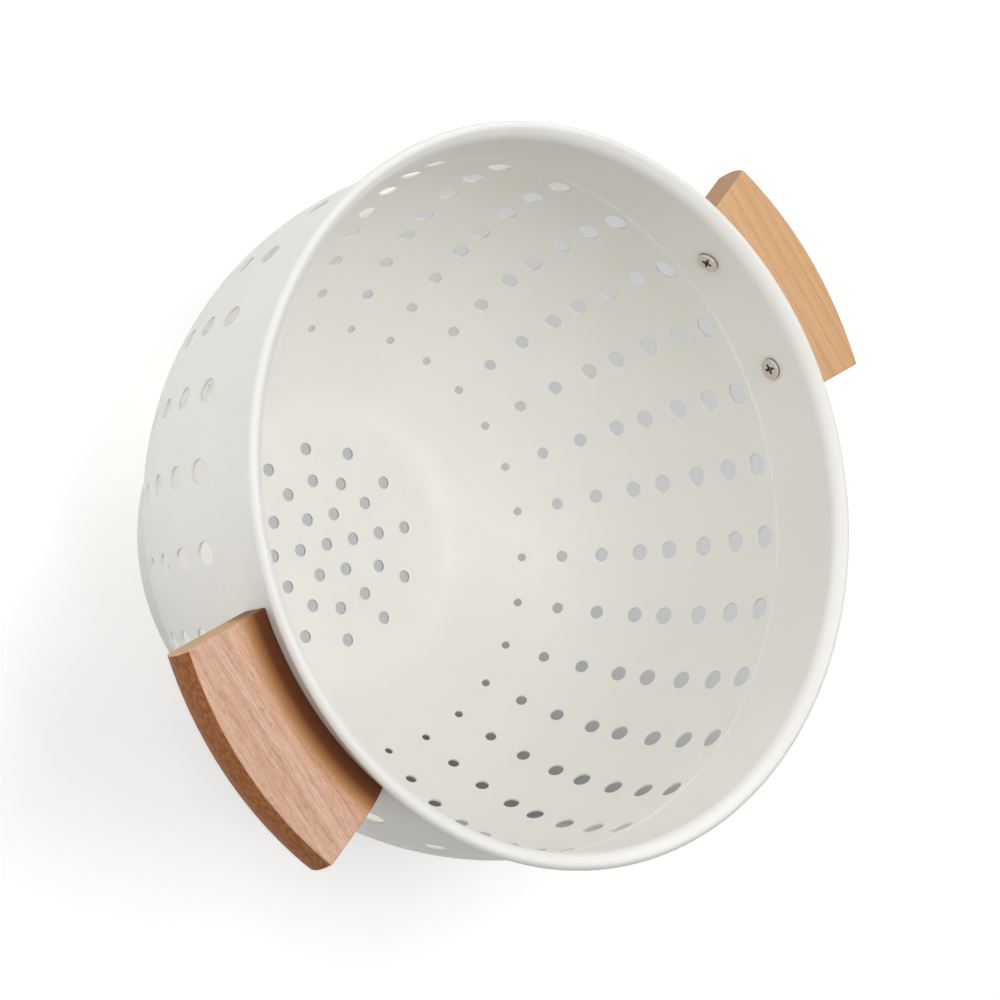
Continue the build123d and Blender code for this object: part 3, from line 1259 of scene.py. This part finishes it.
    def build(self, finish: Finish) -> None:
        """Build the whole bowl as one closed mesh.

        Args:
            finish: Finish of the piece.
        """
        columns, offsets = [], []
        for turn in (self.screw_turn, -self.screw_turn):
            columns.append(round((turn - self.pattern_turn) / self.column_angle))
            offsets.append(turn - self.pattern_turn - columns[-1] * self.column_angle)
        meshes = [self.wedge("wedge_1_plain")]
        meshes += [self.wedge(f"wedge_{k}_screw", offset) for k, offset in enumerate(offsets, start=2)]
        piece = grow(
            round_tree("punched_bowl", punched_floor=True),
            "bowl_coated",
            wedges=collect("wall_wedges", *meshes),
            columns=self.columns,
            first_turn=math.radians(self.pattern_turn),
            second_column=columns[0] % (self.columns // 2),
            third_column=columns[1] % (self.columns // 2),
            material=finish.material(),
            hole_centres=self.floor_centres(),
            hole_lip=self.floor_lip(),
            disc_points=self.columns * self.cell_width_steps,
            disc_radius=self.floor_disc_radius,
            disc_turn=math.radians(self.pattern_turn - self.column_angle / 2),
            hole_points=self.hole_points,
            lip_radius=self.floor_hole / 2 + self.edge_round + self.edge_flat,
            upper_height=self.floor_top,
            lower_height=self.floor_top - self.sheet,
        )
        finish_piece(piece, Slot.COATED_STEEL, "bowl")


@dataclass
class FootRing:
    """Flared ring of sheet under the bowl, with a rounded lower edge.

    Each point of the rounded edge has four shares of the rounding's size: outwards along the
    flare's slope and straight, then upwards along the slope and straight.
    """

    bowl: PunchedBowl
    neck_radius: float = 0.0706
    flare_radius: float = 0.008
    flare_angle: float = 48.0
    seat_gap: float = 0.00005
    edge_round: float = 0.00035
    toe_shares: Shares = ((-1.0, -0.6, 0.0, 0.0), (-0.4, 0.0, 0.0, 0.25), (-0.9, 0.0, 1.3, 0.0))
    heel_shares: Shares = ((-0.9, 0.1, 1.0, 0.0), (0.0, 0.2, 0.0, 0.1), (0.0, 0.8, 0.0, 0.0))
    flare_steps: int = 8
    wedge_steps: int = 7
    wedges: int = 28
    sharp_angle: float = 40.0

    def outline(self) -> list[Pair]:
        """Draw the closed outline of the ring's section.

        Returns:
            Radius and height of its points, clockwise from the foot.
        """
        reach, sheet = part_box("foot_ring")[1].x, self.bowl.sheet
        flare, soft = math.radians(self.flare_angle), self.edge_round
        arc_out = self.flare_radius * (1 - math.cos(flare))
        arc_down = self.flare_radius * math.sin(flare)
        lip_down = (reach - self.neck_radius - arc_out) / math.tan(flare)
        centre = (self.neck_radius + self.flare_radius, lip_down + arc_down)

        def arc(radius: float, first: float, last: float) -> list[Pair]:
            """Points of an arc round the flare's centre."""
            angles = [math.radians(a) for a in spaced(first, last, self.flare_steps)]
            return [(centre[0] + radius * math.cos(a), centre[1] + radius * math.sin(a)) for a in angles]

        def edge(radius: float, shares: Shares) -> list[Pair]:
            """Points of the rounded lower edge near a radius."""
            lean, rise = math.sin(flare) * soft, math.cos(flare) * soft
            return [(radius + lean * a + soft * b, rise * c + soft * d) for a, b, c, d in shares]

        outer_arc = arc(self.flare_radius, 180 + self.flare_angle, 180)
        inner_arc = arc(self.flare_radius + sheet, 180, 180 + self.flare_angle)
        inner_foot = inner_arc[-1][0] + inner_arc[-1][1] * math.tan(flare)
        radii = (self.neck_radius, self.neck_radius - sheet)
        top = [(r, self.underside(r) - self.seat_gap) for r in radii]
        middle = (outer_arc[-1][1] + top[0][1]) / 2
        neck = [(radii[0], middle), *top, (radii[1], middle)]
        toe, heel = edge(reach, self.toe_shares), edge(inner_foot, self.heel_shares)
        return toe + outer_arc + neck + inner_arc + heel

    def underside(self, radius: float) -> float:
        """Height of the bowl's outer face over a radius.

        Args:
            radius: The radius, beyond the floor's corner.

        Returns:
            The height.
        """
        bowl = self.bowl
        centre_r = bowl.wall_radius - bowl.curve_radius
        outer = bowl.curve_radius + bowl.sheet
        return bowl.floor_top + bowl.curve_height - math.sqrt(outer**2 - (radius - centre_r) ** 2)

    def build(self, finish: Finish) -> None:
        """Build the ring by repeating one wedge of it round the axis.

        Args:
            finish: Finish of the piece.
        """
        draft, half = Draft((EDGE_MARK,)), 180 / self.wedges
        turns, section = spaced(-half, half, self.wedge_steps), self.outline()
        draft.loft([[draft.point(turned(r, z, turn), 0.0) for r, z in section] for turn in turns])
        piece = grow(
            round_tree("wedges_round", punched_floor=False),
            "foot_ring_coated",
            wedges=collect("foot_wedges", draft.mesh("foot_wedge")),
            columns=self.wedges,
            first_turn=0.0,
            second_column=-1,
            third_column=-1,
            material=finish.material(),
        )
        piece.data.set_sharp_from_angle(angle=math.radians(self.sharp_angle))
        finish_piece(piece, Slot.COATED_STEEL, "foot_ring")


class Side(Enum):
    """The two sides of the bowl that carry a handle, by the sign of their X."""

    RIGHT = 1
    LEFT = -1


@dataclass
class WoodenHandle:
    """Block of wood with a rounded outer face, cut to the bowl's wall on its inner side."""

    bowl: PunchedBowl
    side: Side
    node: str
    wall_gap: float = 0.0001
    half_length: float = 0.0378
    end_angle: float = 10.8
    arc_radius: float = 0.1395
    belly: float = 0.0023
    slope_width: float = 0.0147
    slope_drop: float = 0.0026
    edge_radius: float = 0.0006
    edge_support: float = 0.0003
    stations: int = 40
    edge_steps: int = 4
    side_steps: int = 8
    top_steps: int = 16
    wall_shares: tuple[float, ...] = (0.03, 0.25, 0.5, 0.75, 0.97)
    sharp_angle: float = 38.0

    def __post_init__(self) -> None:
        """Take the handle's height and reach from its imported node."""
        low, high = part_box(self.node)
        self.top, self.bottom = high.z, low.z
        self.reach = max(abs(low.x), abs(high.x)) - self.belly
        self.wall = self.bowl.band_radius + self.bowl.sheet
        self.inner = self.wall + self.wall_gap
        self.spread = math.tan(math.radians(self.end_angle))
        self.fan_x = self.wall - self.half_length / self.spread

    def slope_height(self, radius: float) -> float:
        """Height of the top face.

        Args:
            radius: Distance from the bowl's axis.

        Returns:
            The height.
        """
        ridge = self.inner + self.slope_width
        if radius >= ridge:
            return self.top
        round_radius = (self.slope_width**2 + self.slope_drop**2) / (2 * self.slope_drop)
        return self.top - round_radius + math.sqrt(round_radius**2 - (ridge - radius) ** 2)

    def crossing(self, share: float, centre_x: float, radius: float) -> float:
        """X where the fan line at a share of the length crosses a circle centred on the X axis.

        Args:
            share: Place along the handle, from -1 at one end to 1 at the other.
            centre_x: X of the circle's centre.
            radius: The circle's radius.

        Returns:
            The X.
        """
        slope = share * self.spread
        a = 1 + slope**2
        b = -2 * (centre_x + slope**2 * self.fan_x)
        c = centre_x**2 + slope**2 * self.fan_x**2 - radius**2
        return (-b + math.sqrt(b * b - 4 * a * c)) / (2 * a)

    def section(self, share: float, inset: float) -> list[tuple[Vector, float]]:
        """Closed loop of points round the handle at one place along it.

        Args:
            share: Place along the handle, from -1 at one end to 1 at the other.
            inset: How far the loop is drawn in from the handle's faces, at its rounded ends.

        Returns:
            Each point, and whether it lies on the outer face as a number from 0 to 1.
        """
        inner_x = self.crossing(share, 0.0, self.inner + inset)
        half, middle = (self.top - self.bottom) / 2, (self.top + self.bottom) / 2
        belly_radius = (half**2 + self.belly**2) / (2 * self.belly)
        side_shares, top_shares = (spaced(0, 1, count)[1:-1] for count in (self.side_steps, self.top_steps))

        def point(x: float, z: float) -> Vector:
            """Point of the fan line's upright plane."""
            return Vector((x, share * self.spread * (x - self.fan_x), z))

        def outer_x(z: float, draw: float) -> float:
            """X of the outer face at a height."""
            bulge = math.sqrt(belly_radius**2 - (z - middle) ** 2) - belly_radius + self.belly
            return self.crossing(share, self.reach - self.arc_radius, self.arc_radius + bulge - draw)

        def eased(z_face: float, sign: int) -> list[Vector]:
            """Rounded edge between the outer face and the top or the bottom face.

            Args:
                z_face: Height of the top or the bottom face.
                sign: 1 for the top, -1 for the bottom.

            Returns:
                The edge's points, from the outer face to the other.
            """
            soft = self.edge_radius
            corner_z = z_face - sign * (inset + soft)
            corner_x = outer_x(corner_z, inset + soft)
            angles = [math.radians(a) for a in spaced(0, 90, self.edge_steps)]
            arc = [(soft * math.cos(a), soft * math.sin(a)) for a in angles]
            return [point(corner_x + x, corner_z + sign * z) for x, z in arc]

        low_edge, high_edge = eased(self.bottom, -1)[::-1], eased(self.top, 1)
        z_low, z_high = low_edge[-1].z, high_edge[0].z
        start_x, end_x = low_edge[0].x, high_edge[-1].x
        near = self.edge_support / (end_x - inner_x)
        tall = self.edge_support / (z_high - z_low)
        floor_z = self.bottom + inset
        below = (0, near, *side_shares, 1 - near)
        loop = [point(inner_x + (start_x - inner_x) * t, floor_z) for t in below]
        first_outer = len(loop) + self.edge_steps
        loop += low_edge
        heights = [z_low + (z_high - z_low) * t for t in (tall, *side_shares, 1 - tall)]
        loop += [point(outer_x(z, inset), z) for z in heights]
        last_outer = len(loop)
        loop += high_edge
        for t in (near, *top_shares, 1 - near, 1):
            flat = point(end_x + (inner_x - end_x) * t, 0.0)
            loop.append(point(flat.x, self.slope_height(flat.length) - inset))
        top_z = loop[-1].z
        loop += [point(inner_x, top_z + (floor_z - top_z) * t) for t in self.wall_shares]
        return [(place, float(first_outer <= k <= last_outer)) for k, place in enumerate(loop)]

    def loops(self) -> list[Pair]:
        """Place the handle's loops along it.

        Returns:
            The share of the handle's length and the inset of each loop.
        """
        reach_y = self.spread * (self.inner - self.fan_x)
        rounded, support = self.edge_radius / reach_y, self.edge_support / reach_y
        end = [(-1.0, self.edge_radius + self.edge_support)]
        for angle in spaced(0, 90, self.edge_steps):
            a = math.radians(angle)
            end.append((-1 + rounded * (1 - math.cos(a)), self.edge_radius * (1 - math.sin(a))))
        first = -1 + rounded + support
        middle = [(share, 0.0) for share in spaced(first, -first, self.stations)]
        return end + middle + [(-share, inset) for share, inset in reversed(end)]

    def build(self, finish: Finish) -> None:
        """Build the handle as one closed mesh with rounded ends.

        Args:
            finish: Finish of the piece.
        """
        draft, rows = Draft((OUTER_MARK, END_MARK)), []
        half_turn = Matrix.Diagonal((self.side.value, self.side.value, 1))
        for share, inset in self.loops():
            full, end = float(inset == 0.0), float(inset > self.edge_radius / 2)
            loop = self.section(share, inset)
            rows.append([draft.point(half_turn @ place, mark * full, end) for place, mark in loop])
        draft.loft(rows, capped=True)
        mesh = draft.mesh(self.node + "_wood", solid=True)
        smooth_with_sharp_edges(mesh, self.sharp_angle)
        mesh.materials.append(finish.material())
        finish_piece(add_object(mesh), Slot.HANDLE_WOOD, self.node)


@dataclass
class HandleScrews:
    """Four low-headed screws with a cross recess, set from inside the bowl into the handles."""

    bowl: PunchedBowl
    recess_turns: tuple[float, ...] = (12.0, 65.0, 85.0, 51.0)
    seat_gap: float = 0.00003
    head_diameter: float = 0.0082
    head_height: float = 0.0013
    head_edge_radius: float = 0.0004
    head_edge_steps: int = 5
    head_flat_share: float = 0.72
    shank_diameter: float = 0.004
    shank_length: float = 0.014
    tip_share: float = 0.85
    tip_rings: int = 4
    thread_pitch: float = 0.0007
    thread_depth: float = 0.00035
    rings_per_turn: int = 5
    recess_width: float = 0.001
    recess_reach: float = 0.0022
    recess_depth: float = 0.0011
    wing_shares: Pair = (0.62, 1.08)
    wing_narrowing: float = 0.45
    cutter_rise: float = 1.5
    mark_share: float = 0.02
    # The head's side, up to a share of its height, gets a faint painted shade for the gap under its edge.
    side_share: float = 0.8
    side_shade: float = 0.6
    round_points: int = 40
    sharp_angle: float = 35.0

    def head_profile(self) -> list[Pair]:
        """Draw the outline of the head.

        Returns:
            Radius and height over its seat of each point, from the axis outwards.
        """
        r, h, soft = self.head_diameter / 2, self.head_height, self.head_edge_radius
        edge = [math.radians(a) for a in spaced(90, 0, self.head_edge_steps)]
        rounded = [(r - soft + soft * math.cos(a), h - soft + soft * math.sin(a)) for a in edge]
        return [(r * self.head_flat_share, h), *rounded, (r, 0.0), (self.shank_diameter / 2, 0.0)]

    def threaded_screw(self) -> Piece:
        """Build one screw along Z, its head's seat at the origin and its head upwards.

        Returns:
            The screw's object.
        """
        draft = Draft()
        angles = [math.tau * k / self.round_points for k in range(self.round_points)]

        def ring(radius: float, height: float, wave: float = 0.0) -> list[int]:
            """One ring of points.

            Args:
                radius: Radius at the thread's crests.
                height: The ring's height.
                wave: How deep the points between the crests are sunk.

            Returns:
                The points' numbers.
            """
            made = []
            for a in angles:
                turns = height / self.thread_pitch + a / math.tau
                r = radius - wave * (0.5 - 0.5 * math.cos(math.tau * turns))
                made.append(draft.point((r * math.cos(a), r * math.sin(a), height)))
            return made

        rings = [ring(r, h) for r, h in self.head_profile()]
        steps = round(self.shank_length / self.thread_pitch * self.rings_per_turn)
        for k in range(1, steps + 1):
            height = -self.shank_length * k / steps
            taper = min(1.0, (steps - k) / self.tip_rings)
            grip = self.thread_depth if height < -self.bowl.sheet else 0.0
            radius = self.shank_diameter / 2 * (self.tip_share + (1 - self.tip_share) * taper)
            rings.append(ring(radius, height, grip * taper))
        draft.loft(rings, capped=True)
        screw = add_object(draft.mesh("screw_blank", solid=True))
        cutter = self.cross_cutter()
        cut = screw.modifiers.new("recess", "BOOLEAN")
        cut.operation, cut.solver, cut.object = "DIFFERENCE", "MANIFOLD", cutter
        made = bake_modifiers(screw, "screw_part")
        bpy.data.objects.remove(cutter)
        self.paint_recess_shade(made.data)
        smooth_with_sharp_edges(made.data, self.sharp_angle)
        return made

    def cross_cutter(self) -> Piece:
        """Build the cross of two tapered wings that cuts the recess.

        Returns:
            The cross's object.
        """
        draft = Draft()
        heights = (self.head_height - self.recess_depth, self.head_height * self.cutter_rise)
        for turn in (0, 90):
            spin, rows = rotation(turn, "Z"), []
            for height, share in zip(heights, self.wing_shares):
                long = self.recess_reach * share
                wide = self.recess_width / 2 * (1 - self.wing_narrowing * (1 - share))
                corners = ((-long, -wide), (long, -wide), (long, wide), (-long, wide))
                rows.append([draft.point(spin @ Vector((x, y, height))) for x, y in corners])
            draft.loft(rows, capped=True)
        cutter = add_object(draft.mesh("recess_cutter", solid=True))
        cutter.hide_render = True
        return cutter

    def paint_recess_shade(self, mesh: Mesh) -> None:
        """Mark the recess's faces, and faintly the head's side, with painted shade: the dark deep in the
        recess and in the gap under the head's edge.

        Args:
            mesh: The screw's mesh.
        """
        marks = mesh.attributes.new(RECESS_SHADE_MARK, "FLOAT", "FACE")
        limit = self.head_height - self.recess_depth * self.mark_share
        rounding = self.head_diameter / 2 - self.head_edge_radius
        for polygon in mesh.polygons:
            radius, height = polygon.center.xy.length, polygon.center.z
            inside = radius < self.recess_reach and 0 < height < limit
            side = radius > rounding and height < self.head_height * self.side_share
            # Painted shade: full in the recess, faint on the head's side.
            marks.data[polygon.index].value = 1.0 if inside else self.side_shade * float(side)

    def build(self, finish: Finish) -> None:
        """Set the four screws at their places.

        Args:
            finish: Finish of the piece.
        """
        bowl = self.bowl
        turns = [side + sign * bowl.screw_turn for side in (0, 180) for sign in (-1, 1)]
        seat = math.sqrt(bowl.band_radius**2 - (self.head_diameter / 2) ** 2) - self.seat_gap
        height = bowl.rim_top - bowl.screw_drop
        places = points_object("screw_places", [turned(seat, height, turn) for turn in turns])
        facings = places.data.attributes.new(FACING_MARK, "FLOAT_VECTOR", "POINT")
        for k, (turn, recess) in enumerate(zip(turns, self.recess_turns)):
            outward = rotation(turn, "Z") @ rotation(90, "Y")
            inward = rotation(180, "X") @ rotation(-recess, "Z")
            facings.data[k].vector = (outward @ inward).to_euler()
        part = self.threaded_screw()
        values = {"places": places, "part": part, "material": finish.material()}
        piece = grow(placed_copies_tree(), "handle_screws", **values)
        finish_piece(piece, Slot.SCREW_STEEL, *(f"handle_screw_{n}" for n in range(1, 5)))


@dataclass
class ThreadedInserts:
    """The four hidden sleeves in the wood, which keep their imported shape."""

    nodes: tuple[str, ...] = tuple(f"handle_insert_{n}" for n in range(1, 5))

    def dress(self, finish: Finish) -> None:
        """Give the sleeves their metal.

        Args:
            finish: Finish of the piece.
        """
        for node in self.nodes:
            sleeve = frame["nodes"][node]
            sleeve.data.materials.clear()
            sleeve.data.materials.append(finish.material())
            log.info("%s: packed node, dressed", node)


@dataclass
class SoftLamp:
    """Large square lamp that points at the bowl."""

    name: str
    azimuth: float
    elevation: float
    power: float
    distance: float = 1.6
    size: float = 1.0

    def build(self, target: Vector) -> None:
        """Place the lamp round a target point.

        Args:
            target: The point.
        """
        data = bpy.data.lights.new(self.name, "AREA")
        data.shape, data.size, data.energy = "SQUARE", self.size, self.power
        lamp = bpy.data.objects.new(self.name, data)
        bpy.context.scene.collection.objects.link(lamp)
        rise = math.radians(self.elevation)
        back = turned(math.cos(rise), math.sin(rise), self.azimuth)
        lamp.location = target + back * self.distance
        lamp.rotation_euler = back.to_track_quat("Z", "Y").to_euler()


@dataclass
class Studio:
    """Pale floor, white surroundings, soft lamps and the photograph's camera.

    The floor's shade is a painted shadow of two discs, each a centre and the radii where the shadow
    is full and where it ends. It is painted where a lamp at the camera's place would throw the
    bowl's shadow, so that it lies behind the bowl and shows through its holes.
    """

    floor_half: float = 4.0
    floor_colour: Colour = (0.92, 0.92, 0.92)
    floor_glow: Pair = (0.33, 1.0)
    glow_reach: Pair = (0.4, 1.3)
    # The next fields paint the floor's shadow behind the bowl, and the painted light within it.
    shade_colour: Colour = (0.18, 0.175, 0.17)
    shade_glow_colour: Colour = (0.965, 0.965, 1.0)
    shades: tuple[tuple[tuple[float, float, float], float, float], ...] = (
        ((-0.122, 0.055, 0.0), 0.134, 0.151),
        ((-0.084, 0.038, 0.0), 0.124, 0.138),
    )
    shade_way: tuple[float, float, float] = (0.9, 0.44, 0.0)
    shade_slope: Pair = (-0.07, 0.04)
    shade_glow: Pair = (0.44, 0.05)
    # Painted light: a brighter glow over the foot's circle, under the bowl.
    foot_reach: Pair = (0.066, 0.074)
    foot_glow: float = 0.5
    world_strength: float = 0.045
    target: tuple[float, float, float] = (0.0, 0.0, 0.08)
    lamps: tuple[SoftLamp, ...] = (
        SoftLamp("overhead_softbox", azimuth=17, elevation=87, power=10.4),
        SoftLamp("key_softbox", azimuth=-150, elevation=30, power=8.9),
        SoftLamp("back_softbox", azimuth=148, elevation=60, power=3.4),
        SoftLamp("side_softbox", azimuth=-60, elevation=30, power=7.2),
        SoftLamp("low_softbox", azimuth=-42, elevation=7, power=4.3),
        SoftLamp("front_softbox", azimuth=-33, elevation=53, power=2.2),
        SoftLamp("fill_softbox", azimuth=56, elevation=48, power=2.7),
    )
    camera_place: tuple[float, float, float] = (0.63981, -0.288186, 1.036254)
    camera_turn: tuple[float, float, float] = (9.510451, -36.554135, 140.215454)
    camera_lens: float = 117.0547
    camera_sensor: float = 36.0

    def build_world(self) -> None:
        """Even surroundings, white for the camera, gloss and glass, and faint as a light."""
        world = bpy.data.worlds.new("white_surroundings")
        b = empty_tree(world)
        path = b.add("ShaderNodeLightPath").outputs
        seen = b.math("MAXIMUM", path["Is Camera Ray"], path["Is Glossy Ray"])
        seen = b.math("MAXIMUM", seen, path["Is Transmission Ray"])
        strength = b.spread(seen, 0.0, 1.0, self.world_strength, 1.0)
        glow = b.add("ShaderNodeBackground", {"Color": (1.0, 1.0, 1.0), "Strength": strength})
        b.add("ShaderNodeOutputWorld", {"Surface": glow.outputs[0]})
        bpy.context.scene.world = world

    def build_floor(self) -> None:
        """Pale floor that looks white and keeps the object's shadow, with a painted shadow and painted
        light behind the bowl.
        """
        half = self.floor_half
        mesh = bpy.data.meshes.new("studio_floor")
        corners = [(-half, -half, 0), (half, -half, 0), (half, half, 0), (-half, half, 0)]
        mesh.from_pydata(corners, [], [(0, 1, 2, 3)])
        material = bpy.data.materials.new("pale_floor")
        b = empty_tree(material)
        place = b.add("ShaderNodeTexCoord").outputs["Object"]

        # Painted shadow: two soft discs behind the bowl, dark in colour and in glow.
        shade = 0.0
        for centre, full, none in self.shades:
            away = b.vector_math("DISTANCE", place, centre).outputs["Value"]
            shade = b.math("MAXIMUM", shade, b.spread(away, full, none, 1.0, 0.0))
        # Inside the painted shadow the glow is painted light: it falls along shade_way, and over the foot's
        # circle it is foot_glow.
        middle = b.vector_math("DISTANCE", place).outputs["Value"]
        foot = b.spread(middle, *self.foot_reach, 1.0, 0.0)
        along = b.vector_math("DOT_PRODUCT", place, self.shade_way).outputs["Value"]
        shade_glow = b.blend(foot, b.spread(along, *self.shade_slope, *self.shade_glow), self.foot_glow)
        level = b.blend(shade, b.spread(middle, *self.glow_reach, *self.floor_glow), shade_glow)
        seen = b.add("ShaderNodeLightPath").outputs["Is Camera Ray"]

        colour = b.mix(shade, self.floor_colour, self.shade_colour)
        paint = b.add("ShaderNodeBsdfDiffuse", {"Color": colour})
        tone = b.mix(shade, (1.0, 1.0, 1.0), self.shade_glow_colour)
        glow = b.add("ShaderNodeEmission", {"Color": tone, "Strength": b.math("MULTIPLY", seen, level)})
        both = b.add("ShaderNodeAddShader", {0: paint.outputs[0], 1: glow.outputs[0]})
        b.add("ShaderNodeOutputMaterial", {"Surface": both.outputs[0]})
        mesh.materials.append(material)
        add_object(mesh)

    def build_camera(self) -> None:
        """Camera at the photograph's viewing angle."""
        data = bpy.data.cameras.new("photo_camera")
        data.lens, data.sensor_width = self.camera_lens, self.camera_sensor
        camera = bpy.data.objects.new("photo_camera", data)
        camera.location = self.camera_place
        camera.rotation_euler = [math.radians(t) for t in self.camera_turn]
        bpy.context.scene.collection.objects.link(camera)
        bpy.context.scene.camera = camera

    def build(self) -> None:
        """Build the whole studio."""
        bpy.context.scene.view_settings.view_transform = "Standard"
        self.build_camera()
        self.build_world()
        self.build_floor()
        for lamp in self.lamps:
            lamp.build(Vector(self.target))
        log.info("studio: %d lamps", len(self.lamps))


def main() -> None:
    """Build the studio, then every piece of the colander."""
    logging.basicConfig(level=logging.INFO, format="%(name)s: %(message)s")
    Studio().build()
    coating = Coating("warm_white_coating")
    bowl = PunchedBowl()
    bowl.build(coating)
    FootRing(bowl).build(coating)
    near_wood = Wood("rosy_board")
    far_wood = Wood(
        "golden_board",
        light=(0.75, 0.46, 0.25),
        middle=(0.69, 0.40, 0.205),
        dark=(0.42, 0.19, 0.075),
        # The far board's painted highlight along the ridge.
        ridge=(0.78, 0.49, 0.28),
        # The far board's end faces are painted darker than the near board's: painted shade over the end
        # grain's own tone.
        end=(0.42, 0.23, 0.125),
        end_strength=0.65,
        fibre_strength=0.18,
        ring_strength=0.3,
        pore_strength=0.15,
        centre=(-0.143, 0.01, 0.147),
    )
    WoodenHandle(bowl, Side.RIGHT, "handle_right").build(near_wood)
    WoodenHandle(bowl, Side.LEFT, "handle_left").build(far_wood)
    HandleScrews(bowl).build(Metal("screw_metal"))
    brass = Metal("insert_brass", colour=(0.60, 0.42, 0.16), worn_colour=(0.72, 0.54, 0.24))
    ThreadedInserts().dress(brass)


if __name__ == "__main__":
    main()
